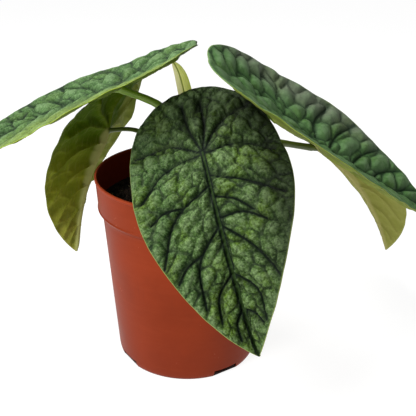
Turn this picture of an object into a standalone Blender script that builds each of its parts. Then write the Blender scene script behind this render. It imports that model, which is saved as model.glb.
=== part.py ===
"""Alocasia in a nursery pot: five quilted shield-shaped leaves on stalks, and one young rolled leaf.

Metres, +Z up. The origin is the middle of the pot's underside, and -Y is the plant's front.
A leaf is described by where its stalk meets it (the hub), the way its midrib runs from there
to the tip, and how the blade bends, twists and folds along that line.
"""

from math import atan2, cos, exp, pi, radians, sin, sqrt

import bmesh
import bpy
import numpy as np
from mathutils import Vector

# Pot: a thin moulded shell, with a rim band that steps in to the tapered wall
POT_HEIGHT = 0.1284
RIM_RADIUS = 0.0600
RIM_LIP_HEIGHT = 0.0022
RIM_LIP_OVERHANG = 0.0006
BAND_HEIGHT = 0.0215
BAND_TAPER = 0.0012
BAND_STEP = 0.0026
BAND_STEP_HEIGHT = 0.0030
FOOT_RADIUS = 0.0478
FOOT_EDGE_HEIGHT = 0.0050
FOOT_EDGE_INSET = 0.0014
WALL = 0.0010
FLOOR = 0.0014
POT_SEGMENTS = 72

# Drain slots through the foot of the wall and the edge of the floor
SLOT_COUNT = 4
SLOT_WIDTH = 0.0180
SLOT_HEIGHT = 0.0038
SLOT_DEPTH = 0.0070
SLOT_TURN = radians(33)

# Potting mix and the plant's short stem in it
SOIL_BELOW_RIM = 0.0189
SOIL_CROWN_RISE = 0.0025
CROWN_RADIUS = 0.0090
CROWN_RISE = 0.0020
CROWN_ROOT_DEPTH = 0.0180
CROWN_ROOT_RADIUS = 0.0060

CLEARANCE = 0.0003

# The blade's outline, as shares of its length from hub to tip and of its half width
WIDEST = 0.14
LOBE_LENGTH = 0.46
LOBE_FULLNESS = 0.05
NOTCH_DEPTH = 0.03
NOTCH_SPREAD = 0.16
TIP_SHARPNESS = 2.1
TIP_DRAW = 0.12

BLADE_THICKNESS = 0.0010
BLADE_COLUMNS = 8
LOBE_ROWS = 7
TIP_ROWS = 14
MIDRIB_STEPS = 24
TIP_WIDTH_SHARE = 0.012

STALK_POINTS = 14
STALK_BASE_SWELL = 1.25

# Angles are in degrees. heading: way of the midrib seen from above; pitch: its fall at the hub;
# droop and lobe_droop: how much further it falls by the tip and by the lobes; roll and twist:
# turn about the midrib, at the hub and on the way to the tip (lobe_twist: to the lobes);
# sweep: sideways bend; fold: rise of each half from the midrib, at the hub, the tip and the
# lobes; curl: how much a half bends down by its margin.
# hub: heading from the pot's middle, distance out from the rim, and height above the soil.
# The stalk leaves the crown at stalk_heading and stalk_rise, keeps to that way for the first share
# of its span and to its end's way for the last. lean is the angle between its end and the blade's
# normal, and side turns that lean about the normal.
LEAVES = {
    "front": dict(
        hub=(-81.03, -0.00483, 0.0516), length=0.1189, half_width=0.388,
        heading=-76.0, pitch=39.4, droop=39.0, lobe_droop=26.9, sweep=-1.6,
        roll=19.4, twist=23.3, lobe_twist=0.6, fold=-10.3, tip_fold=24.9, lobe_fold=-10.3, curl=0.3,
        stalk_radius=0.0024, stalk_heading=-86.0, stalk_rise=42.0,
        first=0.42, last=0.34, lean=40.0, side=0.0,
    ),
    "left": dict(
        hub=(169.82, -0.01641, 0.0750), length=0.1234, half_width=0.382,
        heading=183.7, pitch=19.7, droop=10.1, lobe_droop=-12.3, sweep=3.8,
        roll=5.4, twist=-13.6, lobe_twist=0.7, fold=2.1, tip_fold=0.7, lobe_fold=5.7, curl=-5.8,
        stalk_radius=0.0023, stalk_heading=207.0, stalk_rise=78.0,
        first=0.80, last=0.50, lean=48.0, side=0.0,
    ),
    "right": dict(
        hub=(-22.75, -0.00025, 0.0638), length=0.1272, half_width=0.390,
        heading=5.7, pitch=35.7, droop=-5.1, lobe_droop=-6.4, sweep=-2.8,
        roll=6.9, twist=8.4, lobe_twist=2.8, fold=3.1, tip_fold=11.7, lobe_fold=3.1, curl=-18.1,
        stalk_radius=0.0020, stalk_heading=-4.0, stalk_rise=54.0,
        first=0.66, last=0.50, lean=80.0, side=72.0,
    ),
    "rear_left": dict(
        hub=(129.76, 0.02975, 0.0257), length=0.1055, half_width=0.437,
        heading=173.7, pitch=59.8, droop=27.4, lobe_droop=10.5, sweep=-6.2,
        roll=22.9, twist=-6.8, lobe_twist=-11.4, fold=21.8, tip_fold=32.7, lobe_fold=21.8, curl=26.2,
        stalk_radius=0.0015, stalk_heading=135.0, stalk_rise=42.0,
        first=0.50, last=0.34, lean=42.0, side=0.0,
    ),
    "rear_right": dict(
        hub=(35.51, 0.05327, 0.0143), length=0.1163, half_width=0.448,
        heading=9.1, pitch=33.3, droop=40.0, lobe_droop=-40.0, sweep=11.8,
        roll=-14.4, twist=-0.4, lobe_twist=9.0, fold=28.6, tip_fold=24.7, lobe_fold=40.0, curl=37.7,
        stalk_radius=0.0023, stalk_heading=51.0, stalk_rise=34.0,
        first=0.48, last=0.38, lean=68.0, side=0.0,
    ),
}

# The young leaf: a flattened spindle, still rolled, on its own stalk. Its tip hooks aside.
YOUNG_FOOT = (0.0037, 0.0058, 0.0445)
YOUNG_TIP = (-0.0053, 0.0050, 0.0902)
YOUNG_HALF_WIDTH = 0.0046
YOUNG_HALF_DEPTH = 0.0023
YOUNG_FOOT_SHARE = 0.40
YOUNG_HOOK = 0.0035
YOUNG_RINGS = 16
YOUNG_SIDES = 16
YOUNG_STALK_RADIUS = 0.0019
YOUNG_STALK_START = (88, 60)
YOUNG_STALK_SHARES = (0.42, 0.34)

SOIL_TOP = POT_HEIGHT - SOIL_BELOW_RIM
SOIL_LEVEL = Vector((0, 0, SOIL_TOP))
CROWN_CENTRE = SOIL_LEVEL + Vector((0, 0, SOIL_CROWN_RISE + CROWN_RISE))


def clear_scene():
    for obj in list(bpy.data.objects):
        bpy.data.objects.remove(obj, do_unlink=True)


def new_collection(name):
    collection = bpy.data.collections.new(name)
    bpy.context.scene.collection.children.link(collection)
    return collection


def new_material(name, colour, roughness):
    material = bpy.data.materials.new(name)
    material.use_nodes = True
    shader = material.node_tree.nodes["Principled BSDF"]
    shader.inputs["Base Color"].default_value = (*colour, 1)
    shader.inputs["Roughness"].default_value = roughness
    shader.inputs["Metallic"].default_value = 0.0
    return material


def add_object(name, data, collection, material=None):
    obj = bpy.data.objects.new(name, data)
    collection.objects.link(obj)
    if material:
        data.materials.append(material)
    return obj


def direction(heading, rise):
    """The unit vector at a heading seen from above and a rise above the horizontal, in degrees."""
    flat = cos(radians(rise))
    return Vector((flat * cos(radians(heading)), flat * sin(radians(heading)), sin(radians(rise))))


def turned(name, profile, collection, material, segments=POT_SEGMENTS):
    """A solid of revolution about Z. The profile of (radius, height) ends on the axis at both ends."""
    mesh = bpy.data.meshes.new(name)
    points = [(radius, 0, height) for radius, height in profile]
    mesh.from_pydata(points, [(i, i + 1) for i in range(len(points) - 1)], [])
    obj = add_object(name, mesh, collection, material)
    screw = obj.modifiers.new("Turn", "SCREW")
    screw.axis = "Z"
    screw.steps = segments
    screw.render_steps = segments
    screw.use_merge_vertices = True
    screw.merge_threshold = 0.00001
    screw.use_smooth_shade = True
    return obj


def wall_profile():
    """The pot's outer wall as (radius, height), from the lip down to the foot's edge."""
    band_foot = POT_HEIGHT - BAND_HEIGHT
    lip_foot = POT_HEIGHT - RIM_LIP_HEIGHT
    lip_radius = RIM_RADIUS - RIM_LIP_OVERHANG
    band_radius = RIM_RADIUS - RIM_LIP_OVERHANG - BAND_TAPER
    body_radius = band_radius - BAND_STEP
    return [
        (RIM_RADIUS, POT_HEIGHT - RIM_LIP_OVERHANG),
        (RIM_RADIUS, lip_foot + RIM_LIP_OVERHANG),
        (lip_radius, lip_foot),
        (band_radius, band_foot),
        (band_radius - 0.25 * BAND_STEP, band_foot - 0.45 * BAND_STEP_HEIGHT),
        (body_radius + 0.15 * BAND_STEP, band_foot - 0.80 * BAND_STEP_HEIGHT),
        (body_radius, band_foot - BAND_STEP_HEIGHT),
        (FOOT_RADIUS, FOOT_EDGE_HEIGHT),
        (FOOT_RADIUS - 0.35 * FOOT_EDGE_INSET, 0.4 * FOOT_EDGE_HEIGHT),
        (FOOT_RADIUS - FOOT_EDGE_INSET, 0.0),
    ]


def inner_profile(gap):
    """The inside of the pot, offset inwards by the wall and a gap, from the floor up to the lip."""
    outer = wall_profile()
    inner = [(radius - WALL - gap, height) for radius, height in outer[2:-2]]
    floor_radius = FOOT_RADIUS - FOOT_EDGE_INSET - WALL - gap
    floor = [(floor_radius, FLOOR + gap), (FOOT_RADIUS - WALL - gap, FLOOR + gap + FOOT_EDGE_INSET)]
    return floor + [point for point in reversed(inner) if point[1] > FLOOR + gap + FOOT_EDGE_INSET]


def build_pot(collection, cutters, material):
    outer = wall_profile()
    lip_inner = RIM_RADIUS - RIM_LIP_OVERHANG - WALL
    profile = [(0, FLOOR)] + inner_profile(0)
    profile += [(lip_inner, POT_HEIGHT), (RIM_RADIUS - RIM_LIP_OVERHANG, POT_HEIGHT)] + outer + [(0, 0)]
    pot = turned("pot", profile, collection, material)
    cutter_mesh = bpy.data.meshes.new("drain_slots")
    box = bmesh.new()
    reach = FOOT_RADIUS + SLOT_DEPTH
    start = FOOT_RADIUS - FOOT_EDGE_INSET - SLOT_DEPTH
    for index in range(SLOT_COUNT):
        made = bmesh.ops.create_cube(box, size=1)["verts"]
        angle = SLOT_TURN + index * 2 * pi / SLOT_COUNT
        for vert in made:
            along = (start + reach) / 2 + vert.co.x * (reach - start)
            across = vert.co.y * SLOT_WIDTH
            height = (vert.co.z + 0.5) * 2 * SLOT_HEIGHT - SLOT_HEIGHT
            vert.co = Vector((
                along * cos(angle) - across * sin(angle),
                along * sin(angle) + across * cos(angle),
                height,
            ))
    box.to_mesh(cutter_mesh)
    box.free()
    cutter = add_object("drain_slots", cutter_mesh, cutters)
    cutter.hide_render = True
    cutter.display_type = "WIRE"
    cut = pot.modifiers.new("Drain slots", "BOOLEAN")
    cut.operation = "DIFFERENCE"
    cut.object = cutter
    return pot


def crown_profile(gap):
    """The crown's outline, grown by a gap: a round head on a root stump, top first."""
    radius = CROWN_RADIUS + gap
    centre = CROWN_CENTRE.z
    head = [
        (radius * sin(step * pi / 12), centre + radius * cos(step * pi / 12))
        for step in range(0, 9)
    ]
    root = CROWN_ROOT_RADIUS + gap
    foot = centre - CROWN_ROOT_DEPTH - gap
    return head + [(root, centre - CROWN_RADIUS - gap), (0.8 * root, foot), (0, foot)]


def build_soil(collection, cutters, material):
    """Potting mix: it fills the pot's inside with a clearance, and has a socket for the crown."""
    inner = [point for point in inner_profile(CLEARANCE) if point[1] < SOIL_TOP]
    below, above = inner[-1], [p for p in inner_profile(CLEARANCE) if p[1] >= SOIL_TOP][0]
    share = (SOIL_TOP - below[1]) / (above[1] - below[1])
    edge = below[0] + share * (above[0] - below[0])
    top = [
        (0, SOIL_TOP + SOIL_CROWN_RISE),
        (0.35 * edge, SOIL_TOP + SOIL_CROWN_RISE),
        (0.7 * edge, SOIL_TOP + 0.4 * SOIL_CROWN_RISE),
        (edge, SOIL_TOP),
    ]
    profile = top + list(reversed(inner)) + [(0, inner[0][1])]
    soil = turned("soil", profile, collection, material)
    cutter = turned("crown_socket", crown_profile(CLEARANCE), cutters, None, segments=24)
    cutter.hide_render = True
    cutter.display_type = "WIRE"
    cut = soil.modifiers.new("Crown socket", "BOOLEAN")
    cut.operation = "DIFFERENCE"
    cut.object = cutter
    return soil


def turn_about(axis, angle):
    """The rotation matrix about a unit axis."""
    x, y, z = axis
    skew = np.array([[0, -z, y], [z, 0, -x], [-y, x, 0]])
    return np.eye(3) + sin(angle) * skew + (1 - cos(angle)) * skew @ skew


def blade_plan():
    """Rows of flat blade points, as (share of half width, share of length), lobes first."""
    across = [-1 + 2 * i / BLADE_COLUMNS for i in range(BLADE_COLUMNS + 1)]
    rows = []
    for k in range(LOBE_ROWS, 0, -1):
        back = k / LOBE_ROWS
        row = []
        for u in across:
            x = u * sqrt(1 - back * back / 2)
            y = back * sqrt(1 - u * u / 2)
            angle = atan2(x, y)
            full = 1 + LOBE_FULLNESS * sin(2 * angle) ** 2
            reach = full * (1 - NOTCH_DEPTH * exp(-((angle / NOTCH_SPREAD) ** 2)))
            row.append((x * reach, WIDEST - (WIDEST + LOBE_LENGTH) * y * reach))
        rows.append(row)
    for k in range(TIP_ROWS + 1):
        on = k / TIP_ROWS
        width = (1 - on**TIP_SHARPNESS) * (1 - TIP_DRAW * on * sin(pi * on))
        width = max(width, TIP_WIDTH_SHARE)
        rows.append([(u * width, WIDEST + (1 - WIDEST) * on) for u in across])
    return np.array(rows)


def midrib(leaf):
    """Stations along the midrib from lobes to tip: distances, points and (along, right, up) frames."""
    along = np.array(direction(leaf["heading"], -leaf["pitch"]))
    right = np.array([sin(radians(leaf["heading"])), -cos(radians(leaf["heading"])), 0])
    up = np.cross(right, along)
    roll = turn_about(along, radians(leaf["roll"]))
    start = np.array([along, roll @ right, roll @ up])
    heading, out, height = leaf["hub"]
    hub = np.array(SOIL_LEVEL + direction(heading, 0) * (RIM_RADIUS + out)) + np.array([0, 0, height])
    runs = []
    for sign, reach, droop, twist, sweep in (
        (-1, LOBE_LENGTH, leaf["lobe_droop"], leaf["lobe_twist"], 0),
        (1, 1, leaf["droop"], leaf["twist"], leaf["sweep"]),
    ):
        frame, point = start.copy(), hub.copy()
        step = leaf["length"] * reach / MIDRIB_STEPS
        run = [(0.0, point, frame)]
        for index in range(MIDRIB_STEPS):
            half_bend = -sign * radians(droop) / MIDRIB_STEPS / 2
            frame = frame @ turn_about(frame[1], half_bend).T
            point = point + sign * step * frame[0]
            frame = frame @ turn_about(frame[1], half_bend).T
            frame = frame @ turn_about(frame[0], radians(twist) / MIDRIB_STEPS).T
            frame = frame @ turn_about(frame[2], radians(sweep) / MIDRIB_STEPS).T
            run.append((sign * (index + 1) * step, point, frame))
        runs.append(run)
    stations = runs[0][:0:-1] + runs[1]
    return tuple(np.array(column) for column in zip(*stations))


def place_on_blade(leaf, plan):
    """Flat blade points, in shares, placed on the bent, twisted and folded blade."""
    distances, points, frames = midrib(leaf)
    half_width = leaf["half_width"] * leaf["length"]
    x, y = plan[..., 0] * half_width, plan[..., 1] * leaf["length"]

    def read(values):
        return np.stack([np.interp(y, distances, values[:, i]) for i in range(3)], -1)

    towards_tip = np.clip(y / leaf["length"], 0, 1)
    towards_lobes = np.clip(-y / leaf["length"] / LOBE_LENGTH, 0, 1)
    fold = leaf["fold"] + (leaf["tip_fold"] - leaf["fold"]) * towards_tip
    fold = np.radians(fold + (leaf["lobe_fold"] - leaf["fold"]) * towards_lobes)
    bend = radians(leaf["curl"]) / half_width
    edge_angle = fold - bend * np.abs(x)
    aside = np.sign(x) * (np.sin(fold) - np.sin(edge_angle)) / bend
    raised = (np.cos(edge_angle) - np.cos(fold)) / bend
    return read(points) + read(frames[:, 1]) * aside[..., None] + read(frames[:, 2]) * raised[..., None]


def build_blade(name, leaf, collection, material):
    """The blade: a bent sheet through the placed rows, with Solidify for its thickness."""
    rows = place_on_blade(leaf, blade_plan())
    sheet = bmesh.new()
    grid = [[sheet.verts.new(point) for point in row] for row in rows]
    for low, high in zip(grid, grid[1:]):
        for i in range(len(low) - 1):
            sheet.faces.new((low[i], low[i + 1], high[i + 1], high[i]))
    mesh = bpy.data.meshes.new(name)
    sheet.to_mesh(mesh)
    sheet.free()
    mesh.shade_smooth()
    blade = add_object(name, mesh, collection, material)
    thicken = blade.modifiers.new("Thickness", "SOLIDIFY")
    thicken.thickness = BLADE_THICKNESS
    thicken.offset = 0
    return blade


def tube(name, points, radii, collection, material):
    """A round stem: a poly curve with a bevel, whose radius changes from point to point."""
    curve = bpy.data.curves.new(name, "CURVE")
    curve.dimensions = "3D"
    curve.bevel_depth = 1.0
    curve.bevel_resolution = 3
    curve.use_fill_caps = True
    spline = curve.splines.new("POLY")
    spline.points.add(len(points) - 1)
    for target, point, radius in zip(spline.points, points, radii):
        target.co = (*point, 1)
        target.radius = radius
    return add_object(name, curve, collection, material)


def bezier(start, start_way, end, end_way, first_share, last_share, count=STALK_POINTS):
    """Points on a curve that leaves start along start_way and arrives at end along end_way."""
    span = (end - start).length
    first = start + start_way * first_share * span
    second = end - end_way * last_share * span
    points = []
    for index in range(count):
        t = index / (count - 1)
        s = 1 - t
        points.append(s**3 * start + 3 * s * s * t * first + 3 * s * t * t * second + t**3 * end)
    return points


def build_stalk(name, leaf, collection, material):
    """The stalk, from the crown's surface to just under the blade's hub."""
    distances, points, frames = midrib(leaf)
    hub_index = MIDRIB_STEPS
    hub, (along, right, up) = Vector(points[hub_index]), (Vector(v) for v in frames[hub_index])
    lean, side = radians(leaf["lean"]), radians(leaf["side"])
    arrive = up * cos(lean) + (along * cos(side) + right * sin(side)) * sin(lean)
    radius = leaf["stalk_radius"]
    steepest_drop = radians(max(-leaf["fold"], 1))
    room = BLADE_THICKNESS / 2 + CLEARANCE + radius * (sin(lean) + sin(steepest_drop))
    leave = direction(leaf["stalk_heading"], leaf["stalk_rise"])
    start = CROWN_CENTRE + leave * (CROWN_RADIUS + CLEARANCE)
    route = bezier(start, leave, hub - up * room, arrive, leaf["first"], leaf["last"])
    last = len(route) - 1
    radii = [radius * (STALK_BASE_SWELL + (1 - STALK_BASE_SWELL) * i / last) for i in range(last + 1)]
    return tube(name, route, radii, collection, material)


def build_young_leaf(collection, material):
    """A spindle of oval rings from foot to tip, full up to its blunt, hooked tip."""
    foot, tip = SOIL_LEVEL + Vector(YOUNG_FOOT), SOIL_LEVEL + Vector(YOUNG_TIP)
    along = (tip - foot).normalized()
    depth_way = along.cross(Vector((1, 0, 0))).normalized()
    width_way = depth_way.cross(along)
    body = bmesh.new()
    rings = []
    for k in range(1, YOUNG_RINGS):
        on = (1 - cos(pi * k / YOUNG_RINGS)) / 2
        swell = sqrt(1 - on**5) * sin(pi / 2 * min(1, on / YOUNG_FOOT_SHARE)) ** 0.7
        centre = foot.lerp(tip, on) - width_way * YOUNG_HOOK * on**8
        ring = []
        for j in range(YOUNG_SIDES):
            angle = 2 * pi * j / YOUNG_SIDES
            offset = width_way * YOUNG_HALF_WIDTH * cos(angle) + depth_way * YOUNG_HALF_DEPTH * sin(angle)
            ring.append(body.verts.new(centre + offset * swell))
        rings.append(ring)
    for low, high in zip(rings, rings[1:]):
        for j in range(YOUNG_SIDES):
            following = (j + 1) % YOUNG_SIDES
            body.faces.new((low[j], low[following], high[following], high[j]))
    for ring, end in ((rings[0], foot), (rings[-1], tip - width_way * YOUNG_HOOK)):
        point = body.verts.new(end)
        for j in range(YOUNG_SIDES):
            body.faces.new((ring[j], ring[(j + 1) % YOUNG_SIDES], point))
    bmesh.ops.recalc_face_normals(body, faces=body.faces)
    mesh = bpy.data.meshes.new("young_leaf")
    body.to_mesh(mesh)
    body.free()
    mesh.shade_smooth()
    return add_object("young_leaf", mesh, collection, material)


def build_young_stalk(collection, material):
    foot, tip = SOIL_LEVEL + Vector(YOUNG_FOOT), SOIL_LEVEL + Vector(YOUNG_TIP)
    arrive = (tip - foot).normalized()
    leave = direction(*YOUNG_STALK_START)
    start = CROWN_CENTRE + leave * (CROWN_RADIUS + CLEARANCE)
    route = bezier(start, leave, foot - arrive * CLEARANCE, arrive, *YOUNG_STALK_SHARES)
    return tube("young_stalk", route, [YOUNG_STALK_RADIUS] * len(route), collection, material)


def main():
    clear_scene()
    plant = new_collection("potted_alocasia")
    cutters = new_collection("cutters")
    terracotta = new_material("pot_plastic", (0.34, 0.075, 0.035), 0.4)
    mix = new_material("potting_mix", (0.02, 0.014, 0.01), 0.95)
    upper_green = new_material("blade_green", (0.055, 0.13, 0.04), 0.45)
    under_green = new_material("hanging_blade_green", (0.14, 0.16, 0.04), 0.5)
    stalk_green = new_material("stalk_green", (0.16, 0.26, 0.03), 0.45)
    pale_green = new_material("young_green", (0.42, 0.48, 0.16), 0.45)
    crown_green = new_material("crown_green", (0.12, 0.16, 0.04), 0.6)

    build_pot(plant, cutters, terracotta)
    build_soil(plant, cutters, mix)
    turned("crown", crown_profile(0), plant, crown_green, segments=24)
    for place, leaf in LEAVES.items():
        green = under_green if place.startswith("rear") else upper_green
        build_blade("blade_" + place, leaf, plant, green)
        build_stalk("stalk_" + place, leaf, plant, stalk_green)
    build_young_leaf(plant, pale_green)
    build_young_stalk(plant, stalk_green)


main()
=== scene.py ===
"""The looks of the potted alocasia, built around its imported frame."""

from math import cos, exp, pi, radians, sin, sqrt

import bmesh
import bpy
import numpy as np
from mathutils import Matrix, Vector, noise


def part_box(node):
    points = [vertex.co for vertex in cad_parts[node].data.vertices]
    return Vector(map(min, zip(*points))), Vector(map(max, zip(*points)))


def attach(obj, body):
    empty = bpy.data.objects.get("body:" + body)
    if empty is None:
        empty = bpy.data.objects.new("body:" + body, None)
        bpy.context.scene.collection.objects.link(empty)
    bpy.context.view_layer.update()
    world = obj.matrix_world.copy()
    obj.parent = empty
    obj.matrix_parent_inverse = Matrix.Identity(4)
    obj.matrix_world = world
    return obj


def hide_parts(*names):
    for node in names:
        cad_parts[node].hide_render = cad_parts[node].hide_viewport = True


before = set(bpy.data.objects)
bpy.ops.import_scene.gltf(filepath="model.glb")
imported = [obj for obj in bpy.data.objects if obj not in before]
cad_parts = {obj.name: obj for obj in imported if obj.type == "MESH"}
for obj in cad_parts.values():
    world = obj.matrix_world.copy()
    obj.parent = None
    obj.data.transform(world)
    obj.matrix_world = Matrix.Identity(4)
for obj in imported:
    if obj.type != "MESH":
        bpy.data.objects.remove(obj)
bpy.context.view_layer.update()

# ---- the part's own shape values

# The blade's outline, as shares of its length from hub to tip and of its half width
WIDEST = 0.14
LOBE_LENGTH = 0.46
LOBE_FULLNESS = 0.05
NOTCH_DEPTH = 0.03
NOTCH_SPREAD = 0.16
TIP_SHARPNESS = 2.1
TIP_DRAW = 0.12
MIDRIB_STEPS = 24
HALF_THICKNESS = 0.00045
HUB_FLAT = 0.0065
HUB_SINK = 0.0008
BLADE_COLUMNS = 140
LOBE_ROWS = 54
TIP_ROWS = 140
TIP_WIDTH_SHARE = 0.004
CLEARANCE = 0.0003

# The leaves' places, bends and stalks, as in the part: metres, degrees and shares
LEAVES = {
    "front": dict(
        hub=(-81.03, -0.00483, 0.0516), length=0.1189, half_width=0.388,
        heading=-76.0, pitch=39.4, droop=39.0, lobe_droop=26.9, sweep=-1.6,
        roll=19.4, twist=23.3, lobe_twist=0.6, fold=-10.3, tip_fold=24.9, lobe_fold=-10.3, curl=0.3,
        stalk_radius=0.0024, stalk_heading=-86.0, stalk_rise=42.0,
        first=0.42, last=0.34, lean=40.0, side=0.0,
    ),
    "left": dict(
        hub=(169.82, -0.01641, 0.0750), length=0.1234, half_width=0.382,
        heading=183.7, pitch=19.7, droop=10.1, lobe_droop=-12.3, sweep=3.8,
        roll=5.4, twist=-13.6, lobe_twist=0.7, fold=2.1, tip_fold=0.7, lobe_fold=5.7, curl=-5.8,
        stalk_radius=0.0023, stalk_heading=207.0, stalk_rise=78.0,
        first=0.80, last=0.50, lean=48.0, side=0.0,
    ),
    "right": dict(
        hub=(-22.75, -0.00025, 0.0638), length=0.1272, half_width=0.390,
        heading=5.7, pitch=35.7, droop=-5.1, lobe_droop=-6.4, sweep=-2.8,
        roll=6.9, twist=8.4, lobe_twist=2.8, fold=3.1, tip_fold=11.7, lobe_fold=3.1, curl=-18.1,
        stalk_radius=0.0020, stalk_heading=-4.0, stalk_rise=54.0,
        first=0.66, last=0.50, lean=80.0, side=72.0,
    ),
    "rear_left": dict(
        hub=(129.76, 0.02975, 0.0257), length=0.1055, half_width=0.437,
        heading=173.7, pitch=59.8, droop=27.4, lobe_droop=10.5, sweep=-6.2,
        roll=22.9, twist=-6.8, lobe_twist=-11.4, fold=21.8, tip_fold=32.7, lobe_fold=21.8, curl=26.2,
        stalk_radius=0.0015, stalk_heading=135.0, stalk_rise=42.0,
        first=0.50, last=0.34, lean=42.0, side=0.0,
    ),
    "rear_right": dict(
        hub=(35.51, 0.05327, 0.0143), length=0.1163, half_width=0.448,
        heading=9.1, pitch=33.3, droop=40.0, lobe_droop=-40.0, sweep=11.8,
        roll=-14.4, twist=-0.4, lobe_twist=9.0, fold=28.6, tip_fold=24.7, lobe_fold=40.0, curl=37.7,
        stalk_radius=0.0023, stalk_heading=51.0, stalk_rise=34.0,
        first=0.48, last=0.38, lean=68.0, side=0.0,
    ),
}

# The pot's profile and drain slots, as in the part
RIM_LIP_HEIGHT = 0.0022
RIM_LIP_OVERHANG = 0.0006
BAND_HEIGHT = 0.0215
BAND_TAPER = 0.0012
BAND_STEP = 0.0026
BAND_STEP_HEIGHT = 0.0030
FOOT_RADIUS = 0.0478
FOOT_EDGE_HEIGHT = 0.0050
FOOT_EDGE_INSET = 0.0014
WALL = 0.0010
FLOOR = 0.0014
SLOT_COUNT = 4
SLOT_WIDTH = 0.018
SLOT_TOP = 0.0044
SLOT_TURN = radians(33)
SLOT_OVERCUT = 0.0010
SLOT_BOX = (FOOT_EDGE_INSET + 0.008, SLOT_WIDTH, 0.0084)

pot_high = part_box("pot")[1]
soil_low, soil_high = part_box("soil")
crown_low, crown_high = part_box("crown")
POT_HEIGHT = pot_high.z
RIM_RADIUS = pot_high.x
SOIL_CROWN_RISE = 0.0025
SOIL_SINK = 0.0008
SOIL_TOP = soil_high.z - SOIL_CROWN_RISE
SOIL_RADIUS = soil_high.x
SOIL_LEVEL = Vector((0, 0, SOIL_TOP))
CROWN_RADIUS = crown_high.x
CROWN_CENTRE = Vector((0, 0, crown_high.z - CROWN_RADIUS))

# The young leaf: its foot and tip over the soil's middle
YOUNG_FOOT = SOIL_LEVEL + Vector((0.0037, 0.0058, 0.0445))
YOUNG_TIP = SOIL_LEVEL + Vector((-0.0053, 0.0050, 0.0902))
YOUNG_HALF_WIDTH = 0.0046
YOUNG_HALF_DEPTH = 0.0023
YOUNG_FOOT_SHARE = 0.40
YOUNG_HOOK = 0.0035
YOUNG_STALK_RADIUS = 0.0019

collection = bpy.context.scene.collection


# ---- small helpers

def srgb(text):
    """A linear colour from a written one."""
    values = [int(text[i:i + 2], 16) / 255 for i in (0, 2, 4)]
    return tuple(v / 12.92 if v < 0.04045 else ((v + 0.055) / 1.055) ** 2.4 for v in values) + (1,)


class Nodes:
    """Short-hand for building one node tree. A colour may be a socket, a tuple or a written one."""

    def __init__(self, name, blocks=bpy.data.materials):
        self.owner = blocks.new(name)
        self.owner.use_nodes = True
        self.tree = self.owner.node_tree
        self.shader = self.tree.nodes.get("Principled BSDF")

    def link(self, value, socket):
        if isinstance(value, str):
            value = srgb(value)
        if isinstance(value, bpy.types.NodeSocket):
            self.tree.links.new(value, socket)
        elif socket.type == "RGBA" and len(value) == 3:
            socket.default_value = (*value, 1)
        else:
            socket.default_value = value

    def add(self, kind, inputs=(), **settings):
        node = self.tree.nodes.new("ShaderNode" + kind)
        for key, value in settings.items():
            setattr(node, key, value)
        for key, value in dict(inputs).items():
            self.link(value, node.inputs[key])
        return node

    def attribute(self, name, output="Fac"):
        return self.add("Attribute", attribute_name=name).outputs[output]

    def math(self, operation, a, b=0.0):
        return self.add("Math", {0: a, 1: b}, operation=operation).outputs[0]

    def times(self, a, b):
        return self.math("MULTIPLY", a, b)

    def ramp(self, value, low, high, to_low=0.0, to_high=1.0):
        """A smooth step of value from low to high."""
        return self.add("MapRange", {"Value": value, "From Min": low, "From Max": high, "To Min": to_low,
                                     "To Max": to_high}, interpolation_type="SMOOTHSTEP").outputs["Result"]

    def mix(self, share, a, b):
        return self.add("Mix", {0: share, 6: a, 7: b}, data_type="RGBA").outputs[2]

    def layers(self, colour, *rows):
        """Tones laid over a colour, each as far as a value goes from low to high, times a strength."""
        for tone, value, low, high, strength in rows:
            colour = self.mix(self.times(self.ramp(value, low, high), strength), colour, tone)
        return colour

    def noise(self, vector, scale, detail=2.0, roughness=0.5):
        inputs = {"Vector": vector, "Scale": scale, "Detail": detail, "Roughness": roughness}
        return self.add("TexNoise", inputs).outputs["Fac"]

    def stretched(self, vector, scale):
        return self.add("Mapping", {"Vector": vector, "Scale": scale}).outputs[0]

    def bump(self, height, distance, strength=1.0):
        inputs = {"Height": height, "Distance": distance, "Strength": strength}
        return self.add("Bump", inputs).outputs["Normal"]

    def set(self, **values):
        names = {"colour": "Base Color", "roughness": "Roughness", "specular": "Specular IOR Level",
                 "normal": "Normal", "glow": "Emission Color", "glow_strength": "Emission Strength"}
        for key, value in values.items():
            self.link(value, self.shader.inputs[names[key]])
        return self.owner


def bands(count, sides, start=0, flip=False):
    """Quads between rings of points that follow one another among the vertices, from start on."""
    quads = []
    for a in range(start, start + count * sides, sides):
        b = a + sides
        for j in range(sides):
            k = (j + 1) % sides
            quads.append((a + j, b + j, b + k, a + k) if flip else (a + j, a + k, b + k, b + j))
    return quads


def fan(tip, ring, sides, flip=False):
    """Triangles between one point and a ring of points."""
    pairs = [(ring + j, ring + (j + 1) % sides) for j in range(sides)]
    return [(tip, b, a) if flip else (tip, a, b) for a, b in pairs]


def capped(count, sides, flip=False):
    """A tube of rings with a flat face over each end."""
    first, last = tuple(range(sides)), tuple(range(count * sides, (count + 1) * sides))
    caps = [first, last[::-1]] if flip else [first[::-1], last]
    return bands(count, sides, 0, flip) + caps


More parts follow.
